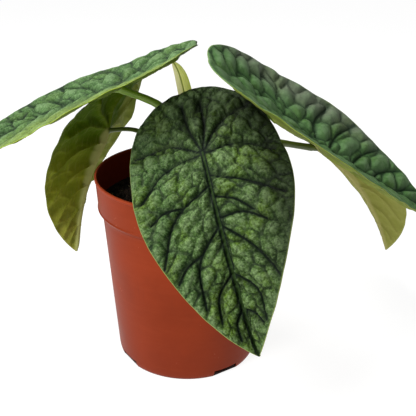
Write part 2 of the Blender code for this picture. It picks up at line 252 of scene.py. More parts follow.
def add_mesh(name, vertices, faces, replaced, materials, attributes=None, smooth=True,
             face_materials=None):
    """A piece that rides on the part's one body, and replaces its CAD nodes."""
    mesh = bpy.data.meshes.new(name)
    mesh.from_pydata([tuple(map(float, v)) for v in vertices], [], faces)
    mesh.validate()
    for material in materials:
        mesh.materials.append(material)
    for key, values in (attributes or {}).items():
        values = np.asarray(values, np.float32)
        kind = "FLOAT_VECTOR" if values.ndim == 2 else "FLOAT"
        layer = mesh.attributes.new(key, kind, "POINT")
        layer.data.foreach_set("vector" if values.ndim == 2 else "value", values.ravel())
    if face_materials is not None:
        mesh.polygons.foreach_set("material_index", np.asarray(face_materials, np.int32))
    if smooth:
        mesh.shade_smooth()
    obj = bpy.data.objects.new(name, mesh)
    collection.objects.link(obj)
    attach(obj, "root")
    if replaced:
        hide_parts(*replaced)
    return obj


# ---- blades

def direction(heading, rise):
    """A unit way, from its heading and its rise in degrees."""
    flat = cos(radians(rise))
    return Vector((flat * cos(radians(heading)), flat * sin(radians(heading)), sin(radians(rise))))


def turn_about(axis, angle):
    """The matrix of a turn about a unit axis."""
    x, y, z = axis
    skew = np.array([[0, -z, y], [z, 0, -x], [-y, x, 0]])
    return np.eye(3) + sin(angle) * skew + (1 - cos(angle)) * skew @ skew


def blade_plan(columns, lobe_rows, tip_rows):
    """Rows of flat blade points, as (share of half width, share of length), lobes first."""
    across = np.linspace(-1, 1, columns + 1)
    rows = []
    for k in range(lobe_rows, 0, -1):
        back = k / lobe_rows
        x = across * sqrt(1 - back * back / 2)
        y = back * np.sqrt(1 - across * across / 2)
        angle = np.arctan2(x, y)
        full = 1 + LOBE_FULLNESS * np.sin(2 * angle) ** 2
        reach = full * (1 - NOTCH_DEPTH * np.exp(-((angle / NOTCH_SPREAD) ** 2)))
        rows.append(np.stack([x * reach, WIDEST - (WIDEST + LOBE_LENGTH) * y * reach], -1))
    for k in range(tip_rows + 1):
        on = k / tip_rows
        width = (1 - on**TIP_SHARPNESS) * (1 - TIP_DRAW * on * sin(pi * on))
        width = max(width, TIP_WIDTH_SHARE)
        rows.append(np.stack([across * width, np.full_like(across, WIDEST + (1 - WIDEST) * on)], -1))
    return np.array(rows)


def midrib(leaf):
    """Stations along the midrib from lobes to tip: distances, points and (along, right, up) frames."""
    along = np.array(direction(leaf["heading"], -leaf["pitch"]))
    right = np.array([sin(radians(leaf["heading"])), -cos(radians(leaf["heading"])), 0])
    up = np.cross(right, along)
    roll = turn_about(along, radians(leaf["roll"]))
    start = np.array([along, roll @ right, roll @ up])
    heading, out, height = leaf["hub"]
    hub = np.array(SOIL_LEVEL + direction(heading, 0) * (RIM_RADIUS + out)) + np.array([0, 0, height])
    runs = []
    for sign, reach, droop, twist, sweep in (
        (-1, LOBE_LENGTH, leaf["lobe_droop"], leaf["lobe_twist"], 0),
        (1, 1, leaf["droop"], leaf["twist"], leaf["sweep"]),
    ):
        axes, point = start.copy(), hub.copy()
        step = leaf["length"] * reach / MIDRIB_STEPS
        run = [(0.0, point, axes)]
        for index in range(MIDRIB_STEPS):
            half_bend = -sign * radians(droop) / MIDRIB_STEPS / 2
            axes = axes @ turn_about(axes[1], half_bend).T
            point = point + sign * step * axes[0]
            axes = axes @ turn_about(axes[1], half_bend).T
            axes = axes @ turn_about(axes[0], radians(twist) / MIDRIB_STEPS).T
            axes = axes @ turn_about(axes[2], radians(sweep) / MIDRIB_STEPS).T
            run.append((sign * (index + 1) * step, point, axes))
        runs.append(run)
    stations = runs[0][:0:-1] + runs[1]
    return tuple(np.array(column) for column in zip(*stations))


def place_on_blade(leaf, plan):
    """Flat blade points, in shares, placed on the bent, twisted and folded blade."""
    distances, points, axes = midrib(leaf)
    half_width = leaf["half_width"] * leaf["length"]
    x, y = plan[..., 0] * half_width, plan[..., 1] * leaf["length"]

    def read(values):
        return np.stack([np.interp(y, distances, values[:, i]) for i in range(3)], -1)

    towards_tip = np.clip(y / leaf["length"], 0, 1)
    towards_lobes = np.clip(-y / leaf["length"] / LOBE_LENGTH, 0, 1)
    fold = leaf["fold"] + (leaf["tip_fold"] - leaf["fold"]) * towards_tip
    fold = np.radians(fold + (leaf["lobe_fold"] - leaf["fold"]) * towards_lobes)
    bend = radians(leaf["curl"]) / half_width
    edge_angle = fold - bend * np.abs(x)
    aside = np.sign(x) * (np.sin(fold) - np.sin(edge_angle)) / bend
    raised = (np.cos(edge_angle) - np.cos(fold)) / bend
    return read(points) + read(axes[:, 1]) * aside[..., None] + read(axes[:, 2]) * raised[..., None]


def arc(*points, steps=7):
    """Points on a smooth curve that runs through the given points."""
    points = [np.array(p, float) for p in points]
    out = []
    padded = [2 * points[0] - points[1]] + points + [2 * points[-1] - points[-2]]
    for a, b, c, d in zip(padded, padded[1:], padded[2:], padded[3:]):
        for t in np.linspace(0, 1, steps)[:-1]:
            out.append(0.5 * (2 * b + (c - a) * t + (2 * a - 5 * b + 4 * c - d) * t * t
                              + (3 * b - a - 3 * c + d) * t**3))
    return np.array(out + [points[-1]])


def bowed(start, end, bow):
    """A vein between two points. bow, a share of its span, is how far its middle lies from the tip."""
    (x, y), (end_x, end_y) = start, end
    side = 1 if end_x > 0 else -1
    aside, back = bow * (end_y - y) * side, bow * abs(end_x - x)
    return arc(start, ((x + end_x) / 2 + aside, (y + end_y) / 2 - back), end, steps=13)


# The front blade's veins: start, end and bow, as shares of the blade's length from the hub; x is
# towards the blade's right
FRONT_VEINS = [bowed(*vein) for vein in (
    ((0, 0), (0.34, -0.10), 0.15),
    ((0, 0), (0.35, 0.16), 0.15),
    ((0, 0.16), (0.30, 0.50), 0.15),
    ((0.15, 0.24), (0.32, 0.28), 0.15),
    ((0, 0.36), (0.16, 0.72), 0.15),
    ((0.12, 0.48), (0.25, 0.58), 0.10),
    ((0, 0.59), (0.11, 0.80), 0.15),
    ((0, 0.76), (0.05, 0.90), 0.15),
    ((0, 0), (0.06, -0.34), -0.05),
    ((0, 0), (-0.04, -0.33), -0.05),
    ((0, 0), (-0.30, -0.29), 0.10),
    ((0, 0), (-0.34, 0.04), 0.15),
    ((0, 0.11), (-0.33, 0.29), 0.05),
    ((0, 0.22), (-0.17, 0.33), 0.10),
    ((0, 0.33), (-0.22, 0.39), 0.15),
    ((0, 0.36), (-0.23, 0.64), 0.05),
    ((0, 0.59), (-0.11, 0.82), 0.20),
    ((0, 0.76), (-0.09, 0.83), 0.10),
)]


def common_veins(seed, origin=0.0, spread=0.02):
    """Strong veins for a leaf: six pairs to the sides and two into each lobe."""
    own = np.random.default_rng(seed)
    veins = []
    for side in (-1, 1):
        for start, first, second, end in (
            (0.0, (0.04, -0.09), (0.09, -0.19), (0.10, -0.33)),
            (0.0, (0.10, -0.08), (0.19, -0.14), (0.27, -0.22)),
            (0.0, (0.10, -0.01), (0.21, 0.00), (0.35, 0.07)),
            (0.10, (0.10, 0.14), (0.21, 0.20), (0.335, 0.33)),
            (0.27, (0.09, 0.32), (0.18, 0.40), (0.27, 0.54)),
            (0.44, (0.07, 0.49), (0.13, 0.58), (0.19, 0.71)),
            (0.61, (0.04, 0.66), (0.08, 0.73), (0.12, 0.84)),
            (0.77, (0.025, 0.81), (0.05, 0.86), (0.06, 0.91)),
        ):
            shift = own.uniform(-spread, spread) if start else 0.0
            route = [(0, start + shift)]
            for x, y in (first, second, end):
                route.append((side * x, y + shift + own.uniform(-0.008, 0.008)))
            squeezed = [(x, origin + y * (1 - origin if y > 0 else 1 + origin / 0.42)) for x, y in route]
            veins.append(arc(*squeezed))
    return veins


def side_branches(veins, seed, spacing=0.075):
    """Weaker veins that leave the strong ones on both sides and run out towards the margin."""
    own = np.random.default_rng(seed)
    made = []
    for vein in veins:
        steps = np.linalg.norm(np.diff(vein, axis=0), axis=1)
        run = np.concatenate([[0], np.cumsum(steps)])
        at = spacing * own.uniform(0.7, 1.0)
        side = 1
        while at < run[-1] * 0.95:
            index = int(np.searchsorted(run, at)) - 1
            index = min(max(index, 0), len(vein) - 2)
            way = vein[index + 1] - vein[index]
            way = way / (np.linalg.norm(way) + 1e-9)
            turn = radians(own.uniform(48, 68)) * side
            lean = np.array([way[0] * cos(turn) - way[1] * sin(turn),
                             way[0] * sin(turn) + way[1] * cos(turn)])
            reach = own.uniform(0.055, 0.095)
            start = vein[index]
            middle = start + lean * reach * 0.55
            end = start + lean * reach * 0.85 + way * reach * 0.42
            made.append(arc(start, middle, end, steps=6))
            side = -side
            at += spacing * own.uniform(0.42, 0.68)
    return made


def distance_to(points, lines):
    """The distance from each flat point to the nearest of some polylines."""
    best = np.full(len(points), 9.0)
    for line in lines:
        for a, b in zip(line, line[1:]):
            way = b - a
            length = way @ way
            if length < 1e-12:
                continue
            t = np.clip(((points - a) @ way) / length, 0, 1)
            offset = points - a - t[:, None] * way
            best = np.minimum(best, np.einsum("ij,ij->i", offset, offset))
    return np.sqrt(best)


def rise_to(value, width):
    """0 at 0, 1 from width on, with a rounded top."""
    share = np.clip(value / width, 0, 1)
    return 1 - (1 - share) ** 2


def scale_edges(points, spacing, seed, lean, stretch=1.0, jitter=0.27):
    """The distance to the edges of rounded scales that lie in rows slanting away from the midrib.

    stretch is how many times wider than tall the scales are.
    """
    own = np.random.default_rng(seed)
    points = points / np.array([stretch, 1.0])
    ways = np.where(points[:, 1] < 0, -0.35, 1.0)
    slanted = np.column_stack([points[:, 0], points[:, 1] - lean * ways * np.abs(points[:, 0])])
    low, high = slanted.min(0) - spacing, slanted.max(0) + spacing
    first, second = np.full(len(points), 9.0), np.full(len(points), 9.0)
    row = 0
    y = low[1]
    while y < high[1]:
        x = low[0] + (row % 2) * spacing / 2
        while x < high[0]:
            centre = np.array([x, y]) + own.uniform(-jitter, jitter, 2) * spacing
            reach = np.hypot(*(slanted - centre).T) * own.uniform(0.80, 1.22)
            nearer = reach < first
            second = np.where(nearer, first, np.minimum(second, reach))
            first = np.where(nearer, reach, first)
            x += spacing
        y += spacing * 0.87
        row += 1
    return (second - first) / 2


def rough_field(points, scale, seed):
    """Smooth noise at flat points, about 1 / scale across."""
    return np.array([noise.noise(Vector((p[0] * scale, p[1] * scale, seed))) for p in points])


def wandering(points, scale, seed):
    """Smooth noise in both directions."""
    return np.column_stack([rough_field(points, scale, seed), rough_field(points, scale, seed + 1)])


def build_blade(place, leaf, materials, veins, seed, relief, pattern, scaled=None):
    """The blade as a closed sheet: domes between sunken veins above, raised ribs below.

    relief holds the heights in mm of the panels between strong veins, of the scales, of the small
    puckers, and of the ribs below. pattern holds the scales' spacing in mm, their stretch and how
    irregular they are. scaled says how far each point (x, y in mm) shows its scales.
    """
    quilt, tall, pucker, ribs = (v / 1000 for v in relief)
    spacing, stretch, jitter = pattern
    spacing /= 1000
    length = leaf["length"]
    half_width = leaf["half_width"] * length
    plan = blade_plan(BLADE_COLUMNS, LOBE_ROWS, TIP_ROWS)
    rows, across = plan.shape[:2]
    flat = np.stack([plan[..., 0] * half_width, plan[..., 1] * length], -1)
    points = flat.reshape(-1, 2)
    x, y = points.T

    def slope(*step):
        return place_on_blade(leaf, plan + np.array(step)) - place_on_blade(leaf, plan - np.array(step))

    up = np.cross(slope(1e-3, 0), slope(0, 1e-3))
    up /= np.linalg.norm(up, axis=-1, keepdims=True) + 1e-12

    origin = veins[0][0, 1] * length
    margin = distance_to(points, [flat[:, 0][::3], flat[:, -1][::3], flat[0][::3]])
    rib = np.where(y < origin, np.hypot(x, y - origin), np.abs(x))
    strong = distance_to(points, [v * length for v in veins])
    weak = distance_to(points, [v * length for v in side_branches(veins, seed)])
    warp = 0.0016 * wandering(points, 130, seed + 1.5)
    wander = 0.006 * wandering(points, 45, seed + 3.5)
    edge = scale_edges(points + warp + wander * jitter, spacing, seed + 40, 0.55, stretch, jitter)
    crease = scale_edges(points + warp + wander, 0.0042, seed + 60, 0.3, 1.5)
    shown = np.ones(len(points)) if scaled is None else scaled(x * 1000, y * 1000)

    nearest = np.minimum(strong, rib)
    inside = rise_to(margin, 0.009)
    panel = rise_to(nearest, 0.0080)
    groove = np.minimum(edge, nearest)
    scale = rise_to(groove, 0.40 * spacing)
    small = rise_to(np.minimum(crease, groove), 0.0014)
    fade = np.clip(1.1 - 0.6 * np.clip(y / length - 0.6, 0, 1), 0.5, 1)
    height = quilt * (panel - 0.55) + (tall * (scale - 0.5) + pucker * (small - 0.5)) * shown
    height *= inside * fade
    height += 0.0004 * rough_field(points, 60, seed) * rise_to(margin, 0.004)
    height += 0.0011 * rough_field(points, 24, seed + 5.3) * (1 - rise_to(margin, 0.02))
    height += 0.0010 * rough_field(points, 95, seed + 8.1) * (1 - rise_to(margin, 0.012))
    near_hub = np.exp(-(np.hypot(x, y) / HUB_FLAT) ** 2)
    height = height * (1 - near_hub) - HUB_SINK * near_hub
    thick = HALF_THICKNESS * rise_to(margin, 0.0012)
    ridge = ribs * np.exp(-((strong / 0.0009) ** 2)) * np.clip(1.2 - 0.9 * rise_to(rib, 0.05), 0.35, 1)
    spine = 0.0016 * np.exp(-((np.abs(x) / 0.0015) ** 2))
    spine *= np.where(y < 0, 0, np.clip(1.0 - 0.75 * y / length, 0.2, 1))
    ridge = np.maximum(ridge, spine) * rise_to(margin, 0.003)

    body = place_on_blade(leaf, plan).reshape(-1, 3)
    normal = up.reshape(-1, 3)
    top = body + normal * (height + thick)[:, None]
    low = body + normal * (0.85 * height - thick - ridge)[:, None]

    index = np.arange(rows * across).reshape(rows, across)
    on_rim = np.zeros((rows, across), bool)
    on_rim[:, 0] = on_rim[:, -1] = on_rim[0] = on_rim[-1] = True
    used_low = ~on_rim.ravel()
    renumber = np.cumsum(used_low) - 1 + rows * across
    low_index = np.where(on_rim, index, renumber.reshape(rows, across))
    vertices = np.vstack([top, low[used_low]])
    quads = []
    for grid, flip in ((index, False), (low_index, True)):
        a, b, c, d = grid[:-1, :-1], grid[:-1, 1:], grid[1:, 1:], grid[1:, :-1]
        order = (a, d, c, b) if flip else (a, b, c, d)
        quads.append(np.stack([corner.ravel() for corner in order], -1))
    faces = np.vstack(quads).tolist()

    def both(values):
        return np.concatenate([values, values[used_low]])

    flat_mm = np.column_stack([points * 1000, np.full(len(points), seed * 31.0)])
    distances = dict(rib=rib, strong=strong, weak=weak, edge=edge, crease=crease, margin=margin)
    attributes = {key: both(values * 1000) for key, values in distances.items()}
    # dome, how high each point stands in the relief, also sets the painted highlights and painted shade in
    # the materials
    attributes["dome"] = both(0.30 * panel + 0.50 * scale + 0.2 * small)
    attributes["shown"] = both(shown)
    attributes["plan"] = both(flat_mm)
    add_mesh("blade_%s_leaf" % place, vertices, faces, ["blade_" + place], materials, attributes,
             face_materials=np.repeat([0, 1], len(quads[0])))


def upper_material(name, dark, light, pale, vein, edge_tint, tint_side, tint_run=(2.0, 34.0), shade=None,
                   lines=1.0, mottle=1.0, net=1.0, olive=0.2, rim="8a9a50"):
    """The quilted upper side. edge_tint comes in on the side tint_side, over tint_run mm.

    lines is the strength of the veins' dark and of the painted shade beside them, net that of the scales'
    edges and of the painted shade in the valleys between the domes, mottle that of the speckling and of
    the painted shade in the small creases, olive that of the yellower patches. The pale tone over the
    domes' tops is a painted highlight. shade is painted shade: a dark tone, with how much of it comes
    in to the right, to the left and over the lobes.
    """
    n = Nodes(name)
    plan = n.attribute("plan", "Vector")
    across, down = n.add("SeparateXYZ", {0: plan}).outputs[:2]
    rib, strong, weak, edge, crease, margin, dome, shown = (
        n.attribute(key) for key in ("rib", "strong", "weak", "edge", "crease", "margin", "dome", "shown"))
    colour = n.mix(n.ramp(n.noise(plan, 0.07, 3, 0.55), 0.38, 0.62), dark, light)
    elsewhere = n.add("VectorMath", {0: plan, 1: (40.0, 70.0, 10.0)}, operation="ADD").outputs[0]
    patch = n.noise(elsewhere, 0.055, 3, 0.6)
    blotch = n.noise(plan, 0.30, 4, 0.7)
    speck = n.noise(plan, 0.95, 4, 0.8)
    colour = n.layers(colour, (edge_tint, n.times(across, tint_side), *tint_run, 0.85))
    colour = n.mix(n.ramp(patch, 0.48, 0.66, 0.0, olive), colour, "5c7a16")
    # Painted highlight: the pale tone over the domes' tops. Painted shade: the vein tone in the small
    # creases. The blotches and specks are the leaf's own mottling.
    colour = n.layers(
        colour,
        (pale, dome, 0.62, 0.95, 0.38),
        (pale, blotch, 0.50, 0.62, 0.40 * mottle),
        (vein, blotch, 0.46, 0.38, 0.35 * mottle),
        (pale, speck, 0.53, 0.59, 0.60 * mottle),
        (vein, speck, 0.47, 0.41, 0.62 * mottle),
        (vein, crease, 0.40, 0.10, 0.25 * mottle),
    )
    # Painted shade: the vein tone laid into the low valleys between the domes. The broken lines on the
    # scales' edges and the thin side veins are the veins' own dark.
    low = n.ramp(dome, 0.66, 0.20)
    broken_edge = n.times(n.ramp(edge, 0.95, 0.25), n.ramp(n.noise(plan, 0.12, 2), 0.40, 0.58))
    thin = n.ramp(weak, 0.75, 0.25)
    for mask, strength in ((low, 0.70 * net), (broken_edge, 0.80 * net), (thin, 0.30 * lines)):
        colour = n.mix(n.times(n.times(mask, shown), strength), colour, vein)
    # The narrow dark lines are the veins' and the midrib's own colour; the wider, fainter bands beside them
    # are painted shade in their grooves.
    colour = n.layers(
        colour,
        (vein, strong, 3.0, 0.6, 0.35 * lines),
        (vein, strong, 0.80, 0.45, 0.97 * lines),
        (vein, rib, 4.2, 1.6, 0.35 * lines),
        (vein, rib, 1.75, 1.35, 0.95 * lines),
    )
    spine = n.times(n.ramp(n.math("ABSOLUTE", across), 0.80, 0.45), n.ramp(rib, 2.2, 1.0, 0.0, 0.60))
    colour = n.mix(n.times(spine, 0.75), colour, dark)
    # Painted shade: a dark tone laid over the blade towards its right, its left and its lobes.
    if shade:
        tone, right, left, lobes = shade
        for value, near, far, share in (
            (across, 8.0, 44.0, right), (across, -12.0, -42.0, left), (down, 8.0, -28.0, lobes),
        ):
            colour = n.mix(n.ramp(value, near, far, 0.0, share), colour, tone)
    bright_rim = n.times(n.ramp(margin, 0.55, 0.2), n.ramp(down, -28.0, 0.0, 0.25, 1.0))
    colour = n.mix(bright_rim, colour, rim)
    height = n.math("ADD", n.times(n.ramp(crease, 0.0, 0.8), 0.6 * mottle), n.times(speck, 1.2 * mottle))
    rough = n.ramp(n.noise(plan, 1.4, 3, 0.6), 0.3, 0.7, 0.48, 0.62)
    return n.set(colour=colour, roughness=rough, normal=n.bump(height, 0.00045), specular=0.12)


def under_material(name, top, middle, low, strip, vein, lateral, strip_side=1.0):
    """The smooth underside, greener by the lobes, with a paler strip on one side of the midrib.

    vein is the midrib's colour and lateral that of the veins to the sides: their own colour, and where it is
    darker, as on the rear left blade, painted shade along them. The top tone over the domes is painted
    shade in the hollows between the veins.
    """
    n = Nodes(name)
    plan = n.attribute("plan", "Vector")
    across, down = n.add("SeparateXYZ", {0: plan}).outputs[:2]
    strong, weak, margin, dome = (n.attribute(key) for key in ("strong", "weak", "margin", "dome"))
    streak = n.noise(n.stretched(plan, (1.0, 0.16, 1.0)), 0.8, 3, 0.6)
    colour = n.mix(n.ramp(down, 0.0, 45.0), top, middle)
    colour = n.mix(n.ramp(down, 45.0, 105.0), colour, low)
    colour = n.layers(
        colour,
        (strip, n.times(across, strip_side), 0.0, 7.0, 0.85),
        (top, n.noise(plan, 0.07, 3, 0.5), 0.55, 0.3, 0.35),
        (vein, streak, 0.50, 0.66, 0.14),
        # Painted shade: the top tone over the domes, in the hollows between the veins. Along the veins the
        # lateral tone is their own colour; on the rear left blade, where it is darker, painted shade.
        (top, dome, 0.30, 0.95, 0.30),
        (lateral, weak, 1.2, 0.2, 0.10),
        (lateral, strong, 3.2, 0.3, 0.32),
    )
    run_out = n.times(n.math("ABSOLUTE", across), n.ramp(down, 20.0, 90.0, 1.0, 2.2))
    on_rib = n.times(n.ramp(run_out, 5.0, 1.2), n.ramp(down, -3.0, 3.0, 0.0, 0.80))
    colour = n.mix(on_rib, colour, vein)
    colour = n.layers(colour, (middle, margin, 0.7, 0.25, 0.5))
    normal = n.bump(n.math("ADD", n.noise(plan, 1.5, 3, 0.6), streak), 0.0002, 0.8)
    return n.set(colour=colour, roughness=0.6, normal=normal, specular=0.04)


# ---- stalks

def bezier(start, start_way, end, end_way, shares, count):
    """Points on a curve that leaves one way and arrives another; shares are its handles' lengths."""
    span = (end - start).length
    first = start + start_way * shares[0] * span
    second = end - end_way * shares[1] * span
    points = []
    for index in range(count):
        t = index / (count - 1)
        s = 1 - t
        points.append(s**3 * start + 3 * s * s * t * first + 3 * s * t * t * second + t**3 * end)
    return points


def sweep(points, radii, sides=20, groove=0.0):
    """A closed round tube along a route: vertices, faces, and what its skin's material reads."""
    points = [Vector(p) for p in points]
    side = (points[1] - points[0]).normalized().orthogonal().normalized()
    vertices, along, around = [], [], []
    run = 0.0
    last = len(points) - 1
    for index, point in enumerate(points):
        ahead = (points[min(index + 1, last)] - points[max(index - 1, 0)]).normalized()
        side = (side - ahead * side.dot(ahead)).normalized()
        other = ahead.cross(side)
        if index:
            run += (point - points[index - 1]).length
        for j in range(sides):
            angle = 2 * pi * j / sides
            radius = radii[index] * (1 - groove * exp(-(((angle - pi) / 0.5) ** 2)))
            vertices.append(point + (side * cos(angle) + other * sin(angle)) * radius)
            along.append(run)
            around.append(angle)
    tip = len(vertices)
    faces = bands(last, sides) + fan(tip, 0, sides, True) + fan(tip + 1, last * sides, sides)
    vertices += [points[0], points[-1]]
    along, around = np.array(along + [0.0, run]), np.array(around + [0.0, 0.0])
    skin = np.column_stack([np.cos(around) * 3, np.sin(around) * 3, along * 1000])
    return vertices, faces, {"skin": skin, "on": along / run}


# How far below the hub the blade's underside lies, where the stalk meets it
HUB_DEPTH = {"front": 0.0022, "left": 0.0014, "right": 0.0016, "rear_left": 0.0010, "rear_right": 0.0002}
# How the stalk runs out into the midrib: how far past the hub and how thick, in stalk radii
RUN_OUT = ((0.5, 0.92), (1.1, 0.80), (1.8, 0.62), (2.4, 0.40), (2.7, 0.20))


def build_stalk(place, leaf, material):
    """The stalk, sheathed where it leaves the crown and widening into the blade's midrib at the hub."""
    _, points, axes = midrib(leaf)
    hub = Vector(points[MIDRIB_STEPS])
    along_blade, right, up = (Vector(v) for v in axes[MIDRIB_STEPS])
    lean, side = radians(leaf["lean"]), radians(leaf["side"])
    arrive = up * cos(lean) + (along_blade * cos(side) + right * sin(side)) * sin(lean)
    radius = leaf["stalk_radius"]
    end = hub - up * (HUB_DEPTH[place] + radius)
    leave = direction(leaf["stalk_heading"], leaf["stalk_rise"])
    start = CROWN_CENTRE + leave * (CROWN_RADIUS + CLEARANCE)
    count = 72
    route = bezier(start, leave, end, arrive, (leaf["first"], leaf["last"]), count)
    sunk = [start - leave * (0.006 - 0.002 * i) for i in range(3)]
    radii = []
    for i in range(count):
        on = i / (count - 1)
        swell = 1.25 - 0.25 * on + 0.45 * exp(-on * 14) + 0.18 * exp(-((1 - on) * 22) ** 2)
        radii.append(radius * swell * (1 + 0.02 * sin(i * 0.7)))
    route, radii = sunk + route, [radius * 1.75] * 3 + radii
    for share, width in RUN_OUT:
        route.append(hub - up * (HUB_DEPTH[place] + radius * width) + along_blade * radius * share)
        radii.append(radius * width)
    vertices, faces, skin = sweep(route, radii, 20, 0.10)
    add_mesh("stalk_%s_stem" % place, vertices, faces, ["stalk_" + place], [material], skin)


def stalk_material(name, green, dark, pale):
    """Long pale streaks and dark specks, darker by the crown."""
    n = Nodes(name)
    skin, on = n.attribute("skin", "Vector"), n.attribute("on")
    streak = n.noise(n.stretched(skin, (1.0, 1.0, 0.06)), 1.8, 3, 0.6)
    colour = n.mix(n.ramp(streak, 0.35, 0.65), green, pale)
    colour = n.mix(n.ramp(on, 0.30, 0.0, 0.0, 0.55), colour, dark)
    colour = n.layers(colour, (dark, n.noise(skin, 0.9, 3, 0.6), 0.58, 0.72, 0.35))
    return n.set(colour=colour, roughness=0.38, normal=n.bump(streak, 0.00015, 0.7), specular=0.45)


# ---- young leaf

def build_young(material):
    """The young leaf: a full, blunt roll whose right half laps over the left along the front."""
    along = (YOUNG_TIP - YOUNG_FOOT).normalized()
    depth = along.cross(Vector((1, 0, 0))).normalized()
    width = depth.cross(along)
    rings, sides = 80, 72
    vertices, on_line, places = [], [], []
    for k in range(rings + 1):
        on = min(max((1 - cos(pi * k / rings)) / 2, 0.0004), 0.9996)
        swell = sqrt(1 - on**5) * sin(pi / 2 * min(1, on / YOUNG_FOOT_SHARE)) ** 0.7
        centre = YOUNG_FOOT.lerp(YOUNG_TIP, on) - width * YOUNG_HOOK * on**8
        for j in range(sides):
            angle = 2 * pi * j / sides
            x, y = cos(angle), sin(angle)
            from_line = x + 0.12
            front = y * YOUNG_HALF_DEPTH * swell
            if y < 0:
                lap = 0.22 * min(-6 * from_line, 1) if from_line < 0 else 0
                front *= 1 - 0.62 * exp(-((from_line / 0.13) ** 2)) - lap
            ribbed = 0.00007 * sin(angle * 22 + on * 3) * min(swell * 2, 1)
            vertices.append(centre + width * (x * YOUNG_HALF_WIDTH * swell) + depth * (front + ribbed))
            on_line.append(abs(from_line) * YOUNG_HALF_WIDTH * swell * 1000 if y < 0 else 9.0)
            places.append((from_line * YOUNG_HALF_WIDTH * swell * 1000, on * 46, y * 2))
    obj = add_mesh("young_leaf_rolled", vertices, capped(rings, sides), ["young_leaf"],
                   [material], {"line": np.array(on_line), "plan": np.array(places)})
    bm = bmesh.new()
    bm.from_mesh(obj.data)
    bmesh.ops.recalc_face_normals(bm, faces=bm.faces)
    bm.to_mesh(obj.data)
    bm.free()


def young_material():
    """Pale yellow green, greener by the foot and to the right, with a dark line along the lap."""
    n = Nodes("young_leaf_skin")
    plan, line = n.attribute("plan", "Vector"), n.attribute("line")
    aside, up = n.add("SeparateXYZ", {0: plan}).outputs[:2]
    streak = n.noise(n.stretched(plan, (1.0, 0.12, 1.0)), 1.6, 3, 0.6)
    colour = n.mix(n.ramp(streak, 0.3, 0.7), "d3dc66", "e8ec92")
    for value, low, high, share, tone in (
        (aside, 0.2, -1.4, 0.85, "ece8ac"),
        (aside, 2.4, 4.6, 0.6, "c4d148"),
        (up, 20.0, 6.0, 0.45, "b0c644"),
    ):
        colour = n.mix(n.ramp(value, low, high, 0.0, share), colour, tone)
    colour = n.layers(colour, ("6b7724", line, 0.65, 0.15, 0.9))
    # Painted light: the leaf glows faintly in its own colour, in place of light shining through it.
    return n.set(colour=colour, roughness=0.45, normal=n.bump(streak, 0.0002, 0.8), specular=0.25,
                 glow=colour, glow_strength=0.22)


def build_young_stalk(material):
    """The young leaf's stalk, from inside the crown to inside the roll's foot."""
    arrive = (YOUNG_TIP - YOUNG_FOOT).normalized()
    leave = direction(88, 60)
    begin = CROWN_CENTRE + leave * (CROWN_RADIUS - 0.004)
    route = bezier(begin, leave, YOUNG_FOOT + arrive * 0.002, arrive, (0.42, 0.34), 40)
    radii = [YOUNG_STALK_RADIUS + 0.0007 * exp(-i / 5) for i in range(len(route))]
    vertices, faces, skin = sweep(route, radii, 20, 0.08)
    add_mesh("young_stalk_stem", vertices, faces, ["young_stalk"], [material], skin)


# ---- pot

def straight(start, end, count):
    """The points that part a line into equal steps, without its ends."""
    (x, z), (end_x, end_z) = start, end
    return [(x + (end_x - x) * k / count, z + (end_z - z) * k / count) for k in range(1, count)]


def pot_profile():
    """The pot's inner and outer faces, as (radius, height), from the axis out, down and back."""
    height, rim = POT_HEIGHT, RIM_RADIUS
    under_lip, in_lip = height - RIM_LIP_HEIGHT, rim - RIM_LIP_OVERHANG
    band_foot = height - BAND_HEIGHT
    band = in_lip - BAND_TAPER
    body = band - BAND_STEP
    outer = [
        (rim - RIM_LIP_OVERHANG * 0.9, height), (rim - 0.0002, height - 0.0001), (rim, height - 0.0005),
        (rim, under_lip + 0.0006), (rim - 0.0002, under_lip + 0.0002), (in_lip, under_lip),
    ]
    outer += straight(outer[-1], (band, band_foot + 0.0012), 9)
    outer += [
        (band, band_foot + 0.0012), (band + 0.0004, band_foot + 0.0007), (band + 0.0004, band_foot + 0.0002),
        (band - 0.0002, band_foot - 0.0004),
        (band - 0.25 * BAND_STEP, band_foot - 0.45 * BAND_STEP_HEIGHT),
        (body + 0.35 * BAND_STEP, band_foot - 0.68 * BAND_STEP_HEIGHT),
        (body + 0.12 * BAND_STEP, band_foot - 0.86 * BAND_STEP_HEIGHT), (body, band_foot - BAND_STEP_HEIGHT),
    ]
    outer += straight(outer[-1], (FOOT_RADIUS, FOOT_EDGE_HEIGHT), 40)
    outer += [
        (FOOT_RADIUS, FOOT_EDGE_HEIGHT), (FOOT_RADIUS - 0.0002, 0.0035),
        (FOOT_RADIUS - 0.35 * FOOT_EDGE_INSET, 0.0020), (FOOT_RADIUS - 0.75 * FOOT_EDGE_INSET, 0.0006),
        (FOOT_RADIUS - FOOT_EDGE_INSET, 0.0),
    ]
    inner = [(0.0, FLOOR), (FOOT_RADIUS - FOOT_EDGE_INSET - WALL, FLOOR),
             (FOOT_RADIUS - WALL - 0.0002, FLOOR + 0.0016)]
    inner += [(radius - WALL, z) for radius, z in outer[5:-4]][::-1]
    lip = [(in_lip - WALL + 0.0001, height - 0.0002), (in_lip - WALL + 0.0003, height)]
    return inner, lip + outer + [(0.0, 0.0)]


